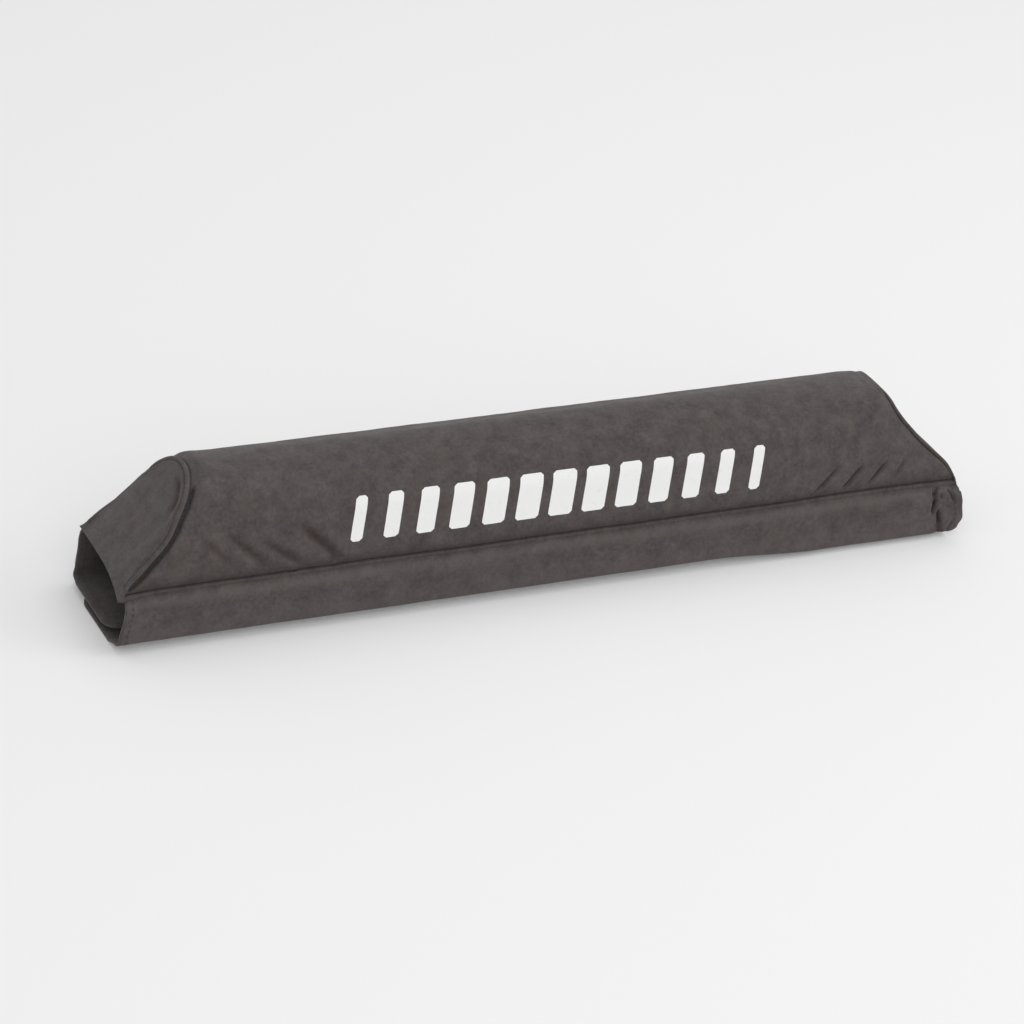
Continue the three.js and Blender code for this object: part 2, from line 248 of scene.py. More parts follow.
def followed(points, value, column=1):
    """Value of a smooth line through points, at a place along it"""
    value = min(points[-1][0], max(points[0][0], value))
    for before, after in zip(points, points[1:]):
        if value <= after[0]:
            share = smooth_step(value, before[0], after[0])
            return before[column] + (after[column] - before[column]) * share
    return points[-1][column]


def seam_dip(x, y):
    """How far a long seam dips towards its ends; the mouth's edge between two seams dips less"""
    inset = max(0.0, FOAM_HIGH.x - abs(x))
    dip = SEAM_DIPS[(x > 0, y > 0)] * math.exp(-inset / SEAM_DIP_REACH)
    dip += SEAM_WAVER * noise.noise(Vector((x / SEAM_WAVER_LENGTH, math.copysign(3, y), 0)))
    if y < 0:
        dip += FRONT_SEAM_DROP
    return dip * min(1.0, abs(y) / FOAM_HIGH.y) ** 2


def end_roll(side, height):
    """How far an end panel is rolled over a flank or the crown, by its share of the height"""
    widest = END_ROLLS[side] + END_ROLL_SWELLS[side] * bump(height, ROLL_WIDEST_AT, ROLL_SPREAD)
    least = END_ROLLS_AT_SEAM[side]
    return least + (widest - least) * smooth_step(height, 0, ROLL_GROWS_BY)


def settle(bm, offset):
    """Gives each vertex, drawn with x from -1 to 1, its place between the sloped, undercut ends"""
    nose = FOAM_HIGH.x + offset * math.hypot(1, END_TAN)
    low = SEAT_Z + CLOTH_OUT - offset
    for vert in bm.verts:
        u, y, z = vert.co
        under = max(0.0, (SEAM_Z - z) / (SEAM_Z - low))
        height = max(0.0, (z - SEAM_Z) / (FOAM_HIGH.z - SEAM_Z))
        fade = 1 - under if under else max(0.0, 1 - (z - SEAM_Z) / SEAM_DIP_HEIGHT)
        dip = seam_dip(u * nose, y) * fade * fade
        side = 1 if u > 0 else -1
        swells = END_SWELLS[side]
        rear = (1 + y / FOAM_HIGH.y) / 2
        swell = (followed(swells, height, 1) * (1 - rear) + followed(swells, height, 2) * rear) * MM
        slope = nose + (SLOPE_FOLLOWS_DIP * dip - height * (FOAM_HIGH.z - SEAM_Z)) * END_TAN + swell
        reach = slope - under * MOUTH_DEPTH
        steps_in = round((1 - abs(u)) * STATIONS / 2)
        roll = end_roll(side, height)
        if steps_in < ROLL_STEPS:
            along = reach - roll * steps_in / ROLL_STEPS
        else:
            along = (reach - roll) * abs(u) / (1 - 2 * ROLL_STEPS / STATIONS)
        vert.co = (math.copysign(along, u), y, z - dip)


def round_corners(bm):
    """Rounds the edges between the end slopes and the crown and flanks, but not the mouths"""
    corners = kdtree.KDTree(len(bm.verts))
    for index, vert in enumerate(bm.verts):
        endwise = [f.normal.x ** 2 > END_FACING for f in vert.link_faces]
        if any(endwise) and not all(endwise):
            corners.insert(vert.co, index)
    corners.balance()
    lowest = SEAM_Z + ROUNDED_FROM
    soft = [v for v in bm.verts if v.co.z > lowest and corners.find(v.co)[2] < ROUNDED_REACH]
    for side, passes in ROUNDING_PASSES.items():
        beside = [v for v in soft if v.co.x * side > 0]
        for _ in range(passes):
            bmesh.ops.smooth_vert(bm, verts=beside, factor=0.5,
                                  use_axis_x=True, use_axis_y=True, use_axis_z=True)


def loaf(offset):
    """Closed body from the seat to the crown, moved out from the foam by an offset. Its section
    is drawn from the crown down, mirrored, swept from end to end and capped with even grids."""
    bm = bmesh.new()
    along = bm.verts.layers.float.new("along")
    crown = Vector((0, 0, FOAM_HIGH.z - CROWN_RADIUS))
    outward = Vector((0, math.cos(FLANK_LEAN), math.sin(FLANK_LEAN)))
    upward = Vector((0, -outward.z, outward.y))
    foot = outward * (outward.dot(Vector((0, FOAM_HIGH.y, SEAM_Z)) - crown) - SHOULDER_RADIUS)
    shoulder = foot + upward * math.sqrt((CROWN_RADIUS - SHOULDER_RADIUS) ** 2 - foot.length_squared)
    turn = math.atan2(shoulder.z, shoulder.y)
    wall = BASE_HIGH.y - CLOTH_OUT + offset
    low = SEAT_Z + CLOTH_OUT - offset

    vert = bm.verts.new((0, 0, FOAM_HIGH.z + offset))
    vert = swing(bm, vert, crown, turn - math.pi / 2, ARC_STEPS // 2 - SHOULDER_STEPS)
    vert = swing(bm, vert, crown + shoulder, FLANK_LEAN - turn, SHOULDER_STEPS)
    flank_top = vert.co.z
    spread = (flank_top - SEAM_Z) * math.tan(FLANK_LEAN)
    vert = run(bm, vert, (0, vert.co.y + spread, SEAM_Z), FLANK_STEPS)
    vert = run(bm, vert, (0, wall, SEAM_Z - LEDGE), 1)
    vert = run(bm, vert, (0, wall, low), WALL_STEPS)
    run(bm, vert, (0, 0, low), ARC_STEPS // 2)
    measure(bm, along)

    bmesh.ops.mirror(bm, geom=bm.verts[:] + bm.edges[:], matrix=Matrix.Identity(4), merge_dist=TINY, axis="Y")
    sweep(bm, STATIONS)
    seam_at = 1 - 2 * ROLL_STEPS / STATIONS
    for face in bm.faces:
        middle = face.calc_center_median()
        over_end = "right_end" if middle.x > seam_at else "left_end" if middle.x < -seam_at else "top"
        face.material_index = PANELS.index(over_end if middle.z > SEAM_Z else "base")

    for side, panel in ((-1, "left_end"), (1, "right_end")):
        rim = [e for e in bm.edges if e.is_boundary and e.verts[0].co.x * side > 0.999]
        arch = [e for e in rim if min(v.co.z for v in e.verts) > flank_top - TINY]
        floor_row = [e for e in rim if max(v.co.z for v in e.verts) < low + TINY]
        feet = {v for e in rim for v in e.verts if abs(v.co.z - SEAM_Z) < TINY}
        mouth = bm.edges.new(sorted(feet, key=lambda v: v.co.y))
        cut = bmesh.ops.subdivide_edges(bm, edges=[mouth], cuts=ARC_STEPS - 1)
        mouth = [g for g in cut["geom_split"] if isinstance(g, bmesh.types.BMEdge)]
        for chain in (arch, floor_row):
            for face in bmesh.ops.grid_fill(bm, edges=mouth + chain)["faces"]:
                face.material_index = PANELS.index(panel)
    settle(bm, offset)
    bmesh.ops.recalc_face_normals(bm, faces=bm.faces)
    round_corners(bm)
    return bm


def mixed(add, share, none, full):
    """Colour that goes from one to the other with a share"""
    return add("Mix", {0: share, 6: none, 7: full}, data_type="RGBA").outputs[2]


FOAM_CELLS = 900
FOAM_PITS = 0.4 * MM
FOAM_DARK = (0.012, 0.012, 0.014, 1)
FOAM_PALE = (0.032, 0.032, 0.035, 1)
foam, foam_add, foam_fill = shader("charcoal_foam")
cells = foam_add("TexVoronoi", {"Vector": foam_add("TexCoord").outputs["Object"], "Scale": FOAM_CELLS})
walls = foam_add("MapRange", {"Value": cells.outputs["Distance"], "From Min": 0.1, "From Max": 0.7})
foam_pits = foam_add("Bump", {"Distance": FOAM_PITS, "Height": walls.outputs["Result"]})
foam_fill({
    "Base Color": mixed(foam_add, walls.outputs["Result"], FOAM_DARK, FOAM_PALE),
    "Normal": foam_pits.outputs["Normal"], "Roughness": 0.9,
})
foam_block = new_piece("foam_block", loaf(FOAM_SLACK), foam)
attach(foam_block, "root")
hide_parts("foam_core")

# Cover
# Four panels of charcoal polyester, woven, coated inside and sewn into a closed case: a top
# panel over both flanks and the crown, two end panels, and a base panel under the foam. It is
# pulled on tight, so that the cloth swells a little between its seams.
PRESSURE = 4
SWELL_FRAMES = 20
SWELL_CAP = 2.2 * MM
SINK_SHARE = 0.1
END_SWELL_SHARE = 0.4
FINE_ROWS_AT_ENDS = 3
FINE_ROWS_AT_SEAMS = 2
FINE_CUTS = 2
FINE_PATCH = ((180 * MM, 42 * MM), (268 * MM, 68 * MM))
COARSE_EDGE = 2 * MM
SEAM_CREASE = 0.7

# Seam relief, by the distance from the seam on the cloth. A form whose name has a pair of heights,
# places or distances beside it fades in or out between the two.
WELT_RISE = 0.9 * MM
WELT_AT = 2 * MM
WELT_WIDTH = 1.1 * MM
STITCH_LINE = 3.9 * MM
STITCH_DEPTH = 0.5 * MM
STITCH_WIDTH = 0.6 * MM
WELT_FOOT_RISE = 0.5 * MM
WELT_FOOT_AT = 5.4 * MM
WELT_FOOT_WIDTH = 1 * MM
RIGHT_WELT = 0.5
RIGHT_WELT_FADES = (88 * MM, 96 * MM)
END_SEAM_BEGINS = (42 * MM, 45 * MM)
SEAM_NICK = 0.8 * MM
NICK_WIDTH = 0.7 * MM
BANK_RISE = 0.4 * MM
BANK_AT = 6 * MM
BANK_WIDTH = 2.4 * MM
GROOVE_DEPTH = 2.6 * MM
GROOVE_AT = 1.7 * MM
GROOVE_WIDTH = 1.4 * MM
GROOVE_FADES_BELOW = 2 * MM
GROOVE_FADES_ABOVE = 0.5 * MM
GROOVE_TOPS = {
    (False, False): 98.8 * MM, (False, True): 88 * MM,
    (True, False): 100 * MM, (True, True): 96 * MM,
}
RIGHT_GROOVE = 0.45
FOLD_DEPTH = 1.5 * MM
FOLD_AT = 9.5 * MM
FOLD_WIDTH = 2.2 * MM
FOLD_BEGINS = (82 * MM, 90 * MM)
FOLD_FADES = (-12 * MM, 2 * MM)
LONG_DEPTH = 2.5 * MM
LONG_WIDTH = 3.9 * MM
# Painted shade: depth and half width of the soft dark band above each long seam
LONG_SHADE = 1.2 * MM
LONG_SHADE_WIDTH = 7.5 * MM
LONG_BULGE = 1.1 * MM
LONG_BULGE_AT = 10 * MM
LONG_BULGE_WIDTH = 5 * MM
PUCKER_RISE = 0.5 * MM
PUCKER_WIDE = 9 * MM
PUCKER_LONG = 30 * MM
PUCKERS_REACH = 9 * MM
PUCKERS_BEGIN = (0, 4 * MM)
CROWN_LIFT = 1.5 * MM
CROWN_LIFT_REACH = {-1: 11 * MM, 1: 17 * MM}
CROWN_BEGINS = (82 * MM, 98 * MM)
LEFT_LIFT = 0.9 * MM
LEFT_LIFT_AT = 8 * MM
LEFT_LIFT_WIDTH = 8 * MM
LEFT_LIFT_BEGINS = (0, 4 * MM)

# Unevenness of cloth over foam: rise, size and seed
MOTTLE = ((0.28 * MM, 26 * MM, 0), (0.12 * MM, 9 * MM, 5))

# Soft ripples at the lower left and sharp pulls at the lower right of the front flank, from
# (x, z) to (x, z) in millimetres, each with its depth and its half width
RIPPLES = (
    ((-181, 72), (-152, 46), 1.7, 3.8),
    ((-206, 64), (-180, 47), 1.5, 3.2),
    ((-231, 73), (-205, 49), 1.3, 3.2),
    ((-246, 70), (-226, 50), 1.0, 2.8),
    ((-118, 56), (-104, 47), 0.5, 3.0),
    ((-84, 55), (-70, 48), 0.5, 3.0),
    ((-46, 57), (-36, 49), 0.4, 3.0),
    ((177, 52), (174, 46), 0.6, 2.4),
    ((188.7, 45.5), (210.7, 63), 1.5, 1.2),
    ((210.8, 46.5), (228.3, 61), 1.7, 1.2),
    ((230.7, 47), (247, 61), 1.6, 1.2),
    ((251.9, 50), (262, 61), 0.8, 1.2),
)

# The low ridges beside each ripple, against its depth and width, and the shares of its length
# between which it fades in and out
RIDGE_SHARE = 0.45
RIDGE_AT = 1.8
RIPPLE_REACH = 6
RIPPLE_BEGINS = (-0.2, 0.35)
RIPPLE_ENDS = (0.7, 1.2)


def opened(mesh):
    """Bmesh of a mesh"""
    bm = bmesh.new()
    bm.from_mesh(mesh)
    return bm


def vertex_measures(bm, *names):
    """New numbers that each vertex carries, under their names"""
    for name in names:
        bm.verts.layers.float.new(name)
    return [bm.verts.layers.float[name] for name in names]


def ring(edge):
    """The edges that lie across a strip of four-sided faces, found from one of them"""
    found, fresh = {edge}, [edge]
    while fresh:
        current = fresh.pop()
        for face in current.link_faces:
            across = [e for e in face.edges if not set(e.verts) & set(current.verts)]
            if len(face.edges) == 4 and across[0] not in found:
                found.add(across[0])
                fresh.append(across[0])
    return found


def onward(edge, vert):
    """The edge that carries a row on past a vertex"""
    return next(e for e in vert.link_edges if not set(e.link_faces) & set(edge.link_faces))


def rings_beside(vert, panel, rows):
    """The edges that lie across the first rows of a panel, counted from a seam through a vertex"""
    edge = next(e for e in vert.link_edges if all(f.material_index == panel for f in e.link_faces))
    across = set()
    for _ in range(rows):
        across |= ring(edge)
        vert = edge.other_vert(vert)
        edge = onward(edge, vert)
    return across


def between(bm, *panels):
    """The vertices on the seam between two panels"""
    wanted = {PANELS.index(name) for name in panels}
    return [v for v in bm.verts if wanted <= {f.material_index for f in v.link_faces}]


def lay_weave(bm):
    """Lays the weave on the cloth in metres: along X and round the section, or over each end"""
    weave = bm.loops.layers.uv.new("weave")
    along = bm.verts.layers.float["along"]
    for face in bm.faces:
        side = face.calc_center_median().y
        on_end = PANELS[face.material_index].endswith("end")
        for loop in face.loops:
            x, y, z = loop.vert.co
            round_section = math.copysign(loop.vert[along], side)
            loop[weave].uv = (y, z * math.hypot(1, END_TAN)) if on_end else (x, round_section)


def inflate(piece):
    """Lets air pressure swell the cover between its sewn lines, without sinking into the foam"""
    mesh = piece.data
    panels_at = [set() for _ in mesh.vertices]
    for face in mesh.polygons:
        for index in face.vertices:
            panels_at[index].add(PANELS[face.material_index])
    sewn = piece.vertex_groups.new(name="sewn")
    sewn.add([i for i, found in enumerate(panels_at) if len(found) > 1 or "base" in found], 1, "REPLACE")
    start = [(v.co.copy(), v.normal.copy()) for v in mesh.vertices]
    pressed = piece.modifiers.new("pressed", "CLOTH")
    pressed.settings.use_pressure = True
    pressed.settings.uniform_pressure_force = PRESSURE
    pressed.settings.effector_weights.gravity = 0
    pressed.settings.vertex_group_mass = "sewn"
    pressed.point_cache.frame_end = SWELL_FRAMES
    for step in range(1, SWELL_FRAMES + 1):
        scene.frame_set(step)
    swollen = piece.evaluated_get(bpy.context.evaluated_depsgraph_get())
    moved = [v.co - place for v, (place, _) in zip(swollen.data.vertices, start)]
    piece.modifiers.remove(pressed)
    piece.vertex_groups.remove(sewn)
    scene.frame_set(1)
    for vert, (place, normal), move, found in zip(mesh.vertices, start, moved, panels_at):
        sunk = min(0.0, move.dot(normal))
        move = move - normal * sunk * (1 - SINK_SHARE)
        share = END_SWELL_SHARE if "left_end" in found or "right_end" in found else 1
        vert.co = place + move * share * min(1.0, SWELL_CAP / max(move.length, TINY))


def end_seam_relief(distance, on_top, seam_point):
    """Height of the cloth beside an end seam: a stitched welt on the end panel, with a fold where
    it rolls over the foam's edge, and a groove on the top panel"""
    x, y, z = seam_point
    nick = SEAM_NICK * bump(distance, 0, NICK_WIDTH)
    strength = RIGHT_WELT * (1 - smooth_step(z, *RIGHT_WELT_FADES)) if x > 0 else 1
    if not on_top:
        welt = WELT_RISE * bump(distance, WELT_AT, WELT_WIDTH)
        welt += WELT_FOOT_RISE * bump(distance, WELT_FOOT_AT, WELT_FOOT_WIDTH)
        fold = FOLD_DEPTH * bump(distance, FOLD_AT, FOLD_WIDTH)
        fold *= smooth_step(z, *FOLD_BEGINS) * (1 - smooth_step(y, *FOLD_FADES))
        return (welt - STITCH_DEPTH * bump(distance, STITCH_LINE, STITCH_WIDTH) - fold - nick) * strength
    top = GROOVE_TOPS[(x > 0, y > 0)]
    groove = GROOVE_DEPTH * (1 - smooth_step(z, top - GROOVE_FADES_BELOW, top + GROOVE_FADES_ABOVE))
    narrow = RIGHT_GROOVE if x > 0 else 1
    groove *= narrow * bump(distance, GROOVE_AT * narrow, GROOVE_WIDTH * narrow)
    return BANK_RISE * bump(distance, BANK_AT, BANK_WIDTH) - groove - nick * strength


def long_seam_relief(distance, x, y):
    """Height of the top panel beside a long seam: it rolls in under a slight bulge, with puckers"""
    pucker = noise.noise(Vector((x / PUCKER_WIDE, math.copysign(7, y), distance / PUCKER_LONG)))
    pucker *= PUCKER_RISE * math.exp(-distance / PUCKERS_REACH) * smooth_step(distance, *PUCKERS_BEGIN)
    rolled = LONG_BULGE * bump(distance, LONG_BULGE_AT, LONG_BULGE_WIDTH)
    return rolled - LONG_DEPTH * bump(distance, 0, LONG_WIDTH) + pucker


def crown_relief(distance, x, z):
    """Height of the top panel where it stands up over the crown, by its distance from an end seam"""
    lift = CROWN_LIFT * smooth_step(distance, 0, CROWN_LIFT_REACH[1 if x > 0 else -1])
    if x < 0:
        beside = LEFT_LIFT * bump(distance, LEFT_LIFT_AT, LEFT_LIFT_WIDTH)
        lift += beside * smooth_step(distance, *LEFT_LIFT_BEGINS)
    return lift * smooth_step(z, *CROWN_BEGINS)


def ripple_relief(x, z, ripple):
    """Height of one ripple: a valley between two low ridges, fading out at both ends"""
    (x0, z0), (x1, z1), depth, width = ripple
    foot = Vector((x0, z0))
    line = Vector((x1, z1)) - foot
    place = Vector((x, z)) / MM - foot
    share = place.dot(line) / line.length_squared
    off = place.cross(line) / line.length
    if abs(off) > RIPPLE_REACH * width or not RIPPLE_BEGINS[0] < share < RIPPLE_ENDS[1]:
        return 0.0
    taper = smooth_step(share, *RIPPLE_BEGINS) * (1 - smooth_step(share, *RIPPLE_ENDS))
    ridges = bump(off, RIDGE_AT * width, width) + bump(off, -RIDGE_AT * width, width)
    return depth * MM * taper * (RIDGE_SHARE * ridges - bump(off, 0, width))


def mottle(place):
    """Slight unevenness of cloth over foam"""
    return sum(rise * noise.noise(place / size + Vector([seed] * 3)) for rise, size, seed in MOTTLE)


def seam_tree(bm, *panels):
    """Closely spaced points on the seam between two panels, as a tree to measure distances from"""
    wanted = {PANELS.index(name) for name in panels}
    points = []
    for edge in bm.edges:
        if {f.material_index for f in edge.link_faces} == wanted:
            a, b = (v.co for v in edge.verts)
            points += [a.lerp(b, share) for share in (0, 0.25, 0.5, 0.75)]
    tree = kdtree.KDTree(len(points))
    for index, point in enumerate(points):
        tree.insert(point, index)
    tree.balance()
    return tree


def sew(bm):
    """Gives the cover its seams, puckers and ripples, and notes at each vertex the painted shade it gets: how
    deep its valley is, and a soft band above the long seams
    """
    ends = {False: seam_tree(bm, "top", "left_end"), True: seam_tree(bm, "top", "right_end")}
    long_seams = seam_tree(bm, "top", "base")
    valley, hem = vertex_measures(bm, "valley", "hem")
    bm.normal_update()
    heights = []
    for vert in bm.verts:
        panels = {PANELS[f.material_index] for f in vert.link_faces}
        x, y, z = vert.co
        height = 0.0
        deep = 0.0
        if panels != {"base"}:
            point, _, distance = ends[x > 0].find(vert.co)
            vert[hem] = distance
        if panels != {"base"} and z > SEAM_Z:
            height = end_seam_relief(distance, "top" in panels, point) * smooth_step(z, *END_SEAM_BEGINS)
            deep = max(0.0, -height)
            if "top" in panels:
                height += crown_relief(distance, x, z)
        if "top" in panels:
            from_seam = long_seams.find(vert.co)[2]
            height += long_seam_relief(from_seam, x, y)
            # Painted shade: a soft dark band on the cloth just above each long seam
            deep = max(deep, LONG_SHADE * bump(from_seam, 0, LONG_SHADE_WIDTH))
            if y < 0:
                pulls = sum(ripple_relief(x, z, ripple) for ripple in RIPPLES)
                height += pulls
                deep = max(deep, -pulls)
            height += mottle(vert.co)
        if "base" in panels and "top" not in panels:
            height = 0.0
        heights.append(height)
        # The valley depth is painted as shade into the cloth's colour
        vert[valley] = deep
    for vert, height in zip(bm.verts, heights):
        vert.co += vert.normal * height


def subdivided(piece):
    """The mesh of a piece after one smooth subdivision, as a bmesh"""
    finer = piece.modifiers.new("finer", "SUBSURF")
    finer.levels = finer.render_levels = 1
    mesh = bpy.data.meshes.new_from_object(piece.evaluated_get(bpy.context.evaluated_depsgraph_get()))
    bm = opened(mesh)
    bpy.data.meshes.remove(mesh)
    return bm


CLOTH_DARK = (0.048, 0.0405, 0.0395, 1)
CLOTH_PALE = (0.100, 0.0845, 0.0825, 1)
CLOTH_RUSTY = (0.083, 0.062, 0.060, 1)
# Colour of the painted shade in the valleys
CLOTH_SHADED = (0.030, 0.0165, 0.015, 1)
# Colour of the painted highlight along the pale bands of the front flap
CLOTH_PAINTED_HIGHLIGHT = (0.120, 0.101, 0.098, 1)
BLOTCHES = 95
SPECKS = 420
SPECK_SHARE = 0.45
RUST_BLOTCHES = 0.7 * BLOTCHES
# Valley depth at which the painted shade is full, and the depth below zero at which the painted highlight is
# full
VALLEY_DARKENS = 1.6 * MM
PAINTED_HIGHLIGHT_FULL = -1 * MM
THREAD_PITCH = 0.66 * MM
THREAD_RELIEF = 0.12 * MM
BLOTCH_RELIEF = 0.5 * MM


def plain_weave(add, distance):
    """Bump of crossing threads, on the cloth's own UV"""
    laid = add("UVMap", uv_map="weave")
    turns = add("VectorMath", {0: laid.outputs["UV"], 1: [math.pi / THREAD_PITCH] * 3}, operation="MULTIPLY")
    axes = add("SeparateXYZ", {0: turns.outputs[0]})
    warp = add("Math", {0: axes.outputs["X"]}, operation="SINE")
    weft = add("Math", {0: axes.outputs["Y"]}, operation="SINE")
    crossing = add("Math", {0: warp.outputs[0], 1: weft.outputs[0]}, operation="MULTIPLY")
    knots = add("Math", {0: crossing.outputs[0]}, operation="ABSOLUTE")
    return add("Bump", {"Strength": 0.35, "Distance": distance, "Height": knots.outputs[0]})


def woven(name):
    """Matt coated cloth: a fine plain weave, blotches, painted shade in the valleys and a painted highlight
    along some folds
    """
    material, add, fill = shader(name)
    place = add("TexCoord").outputs["Object"]
    blotch = add("TexNoise", {"Vector": place, "Scale": BLOTCHES, "Detail": 4, "Roughness": 0.6})
    speck = add("TexNoise", {"Vector": place, "Scale": SPECKS, "Detail": 3, "Roughness": 0.7})
    rust = add("TexNoise", {"Vector": place, "Scale": RUST_BLOTCHES, "Detail": 2})
    both = add("Mix", {0: SPECK_SHARE, 2: blotch.outputs["Fac"], 3: speck.outputs["Fac"]}).outputs[0]
    tone = add("MapRange", {"Value": both, "From Min": 0.33, "From Max": 0.67})
    rusted = add("MapRange", {"Value": rust.outputs["Fac"], "From Min": 0.5, "From Max": 0.75,
                              "To Max": 0.55})
    # The valley measure, which carries the painted shade and the painted highlight
    valley = add("Attribute", attribute_name="valley").outputs["Fac"]

    def by_valley(depth, level, bottom):
        ranged = add("MapRange", {"Value": valley, "From Max": depth, "To Min": level, "To Max": bottom})
        return ranged.outputs["Result"]

    colour = mixed(add, tone.outputs["Result"], CLOTH_DARK, CLOTH_PALE)
    colour = mixed(add, rusted.outputs["Result"], colour, CLOTH_RUSTY)
    # Painted highlight where the valley measure is below zero, along the front flap's pale bands
    colour = mixed(add, by_valley(PAINTED_HIGHLIGHT_FULL, 0, 0.4), colour, CLOTH_PAINTED_HIGHLIGHT)
    # Painted shade that deepens with each valley: seams, grooves, ripples and the pit
    colour = mixed(add, by_valley(VALLEY_DARKENS, 0, 0.5), colour, CLOTH_SHADED)
    threads = plain_weave(add, THREAD_RELIEF)
    uneven = add("Bump", {"Strength": 0.5, "Distance": BLOTCH_RELIEF, "Height": both,
                          "Normal": threads.outputs["Normal"]})
    rough = add("MapRange", {"Value": both, "From Min": 0.3, "From Max": 0.7, "To Min": 0.9, "To Max": 0.7})
    fill({
        "Base Color": colour, "Normal": uneven.outputs["Normal"], "Roughness": rough.outputs["Result"],
        # Less specular and sheen where the shade is painted, so that it stays dark
        "Specular IOR Level": by_valley(VALLEY_DARKENS, 0.35, 0.08),
        "Sheen Weight": by_valley(VALLEY_DARKENS, 0.12, 0.01), "Sheen Roughness": 0.5,
    })
    return material


cloth = woven("coated_cloth")

bm = loaf(CLOTH_OUT)
lay_weave(bm)
case = new_piece("case", bm)
inflate(case)
bm = opened(case.data)
across = set()
for end in ("left_end", "right_end"):
    crown = max(between(bm, "top", end), key=lambda v: v.co.z - abs(v.co.y))
    across |= rings_beside(crown, PANELS.index("top"), FINE_ROWS_AT_ENDS)
    across |= rings_beside(crown, PANELS.index(end), ROLL_STEPS)
for side in (-1, 1):
    middle = min(between(bm, "top", "base"), key=lambda v: abs(v.co.x) - side * v.co.y)
    across |= rings_beside(middle, PANELS.index("top"), FINE_ROWS_AT_SEAMS)
bmesh.ops.subdivide_edges(bm, edges=list(across), cuts=FINE_CUTS, use_grid_fill=True)
(x0, z0), (x1, z1) = FINE_PATCH
patch = {e for v in bm.verts if v.co.y < 0 and x0 < v.co.x < x1 and z0 < v.co.z < z1 for e in v.link_edges}
patch = [e for e in patch if e.calc_length() > COARSE_EDGE]
bmesh.ops.subdivide_edges(bm, edges=patch, cuts=FINE_CUTS, use_grid_fill=True)
crease = bm.edges.layers.float.new("crease_edge")
for edge in bm.edges:
    if len({f.material_index for f in edge.link_faces}) > 1:
        edge[crease] = SEAM_CREASE
bm.to_mesh(case.data)
bm.free()
bm = subdivided(case)
sew(bm)
PANEL_NODES = ("top_cover", "left_end_panel", "right_end_panel", "base_panel")
for index, name in enumerate(PANELS):
    cut = bm.copy()
    bmesh.ops.delete(cut, geom=[f for f in cut.faces if f.material_index != index], context="FACES")
    for face in cut.faces:
        face.material_index = 0
    panel = new_piece("cover_" + name, cut, cloth)
    thick = panel.modifiers.new("thickness", "SOLIDIFY")
    thick.thickness = CLOTH
    thick.offset = -1
    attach(panel, "root")
    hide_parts(PANEL_NODES[index])
bm.free()
bpy.data.objects.remove(case)

# Wrap flaps
# Two long flaps of the same cloth, doubled, hemmed all round and sewn into the long seams. They
# are the tunnel's sides and its floor, where they lie over each other and the tapes close them.
FLAP_THICKNESS = 1.6 * MM
FLAP_BEND_RADIUS = 2.5 * MM
FLAP_LEVEL_RADIUS = 6 * MM
FLAP_CORNER = 14 * MM
FLAP_LOW, FLAP_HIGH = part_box("front_wrap_flap")
FLAP_Y = -FLAP_LOW.y - FLAP_THICKNESS / 2
FLAP_BEND_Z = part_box("rear_wrap_flap")[0].z + FLAP_THICKNESS / 2 + FLAP_BEND_RADIUS
FLAP_STATIONS = 300
HANG_STEPS = 20
BEND_STEPS = 4
SLOPE_STEPS = 3
LEVEL_STEPS = 16

# The hanging part of each flap, by height in millimetres: how far the front one stands out, and
# how far the two ends of each reach
FLAP_STANDS_OUT = ((1, 1.2), (4, 2.2), (24, 1), (30, 1.5), (37.5, 0), (42.05, -2.6))
FLAP_ENDS = {
    -1: ((0, 304.5), (3, 304.5), (10, 301.5), (25, 298.5), (38, 298), (42.05, 299)),
    1: ((0, 294), (5.2, 299), (11, 306), (16.7, 309.5), (25, 308.6), (33.3, 306.5), (38, 305),
        (42.05, 304)),
}
REAR_FLAP_ENDS = {
    -1: ((0, 302), (12, 298.5), (30, 297), (42.05, 295.5)),
    1: ((0, 302), (12, 300), (30, 299.5), (42.05, 301)),
}
FLAP_FOLLOWS_SEAM = (30 * MM, 42 * MM)
FLAP_TUCKS_IN = (37 * MM, 42 * MM)
REAR_TUCK = 2.2 * MM
REAR_BOW_FROM = 30 * MM
EAR_FLARE = 2.2 * MM
EAR_TIP = 309 * MM
EAR_LENGTH = 14 * MM
EAR_HEIGHT = 16 * MM
PIT_AT = ((288, 36.8), (286.5, 27.4), (291.8, 16.1), (293, 9))
PIT_DEPTH = 2 * MM
PIT_WIDTH = 3 * MM
TUCKED_FROM = 0.9
TUCKED_CUTS = 2

# Creases round the pit and on the flared end, as the ripples of the cover are given
TUCK_CREASES = (
    ((286.1, 37.5), (286.1, 31.5), 3.0, 2.0),
    ((291.5, 34), (292, 29), 1.6, 1.3),
    ((288.5, 28.5), (286, 20), 3.2, 1.7),
    ((291.5, 22), (292.5, 14), 1.8, 1.7),
    ((296.5, 37), (302, 26.5), 1.5, 1.4),
    ((303, 16), (299, 7), 0.9, 1.6),
)
DENT_AT = (219, 27)
DENT_DEPTH = 1.1 * MM
DENT_WIDTH = 5 * MM
# Painted shade under the long seam and in the pit of the front flap, against the valley depth
TUCK_SHADE = 1.2 * MM
PIT_SHADE = 0.7

# Bands of painted highlight along the front flap: height and half width in millimetres, and share
FLAP_PAINTED_HIGHLIGHTS = ((34.5, 3.6, 1), (8, 9, 0.6))
HIGHLIGHT_OFF_CREASES = 0.5 * MM

# The front flap's lower edge hangs lower at the right, where it also stands out a little
FLAP_SAG = 3.4 * MM
FLAP_SAG_ALONG = (120 * MM, 200 * MM)
FLAP_SAG_HEIGHTS = (9 * MM, 30 * MM)
FLAP_SAG_MOST = 0.85
FLAP_SAG_OUT = 0.4

